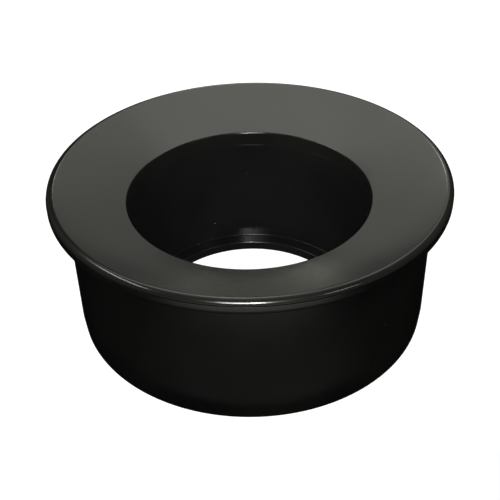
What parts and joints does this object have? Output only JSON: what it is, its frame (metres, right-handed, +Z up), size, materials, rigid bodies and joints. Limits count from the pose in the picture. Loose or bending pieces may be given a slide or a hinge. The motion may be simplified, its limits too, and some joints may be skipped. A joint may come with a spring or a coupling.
{
  "type": "toilet flange",
  "caption": "Black plastic floor flange for a toilet drain: dished cover ring, flange with a straight outer skirt, and an inner pipe socket with a stop lip.",
  "frame": {"origin": "centre of the foot of the hub tube, the lowest face, which the part stands on", "axes": "+Z up along the common axis of the hole, the socket and the skirt; X and Y lie midway between two ribs"},
  "size_m": [0.186, 0.186, 0.0835],
  "materials": {
    "cover_plastic": "smooth moulded black plastic, satin to glossy, with faint swirl marks",
    "body_plastic": "moulded black plastic, a little duller on the skirt",
    "tube_plastic": "smooth moulded black plastic with a few dust specks and scuffs"
  },
  "bodies": {
    "root": {"cover_ring": "cover_plastic", "flange_body": "body_plastic", "hub_tube": "tube_plastic"}
  },
  "joints": []
}
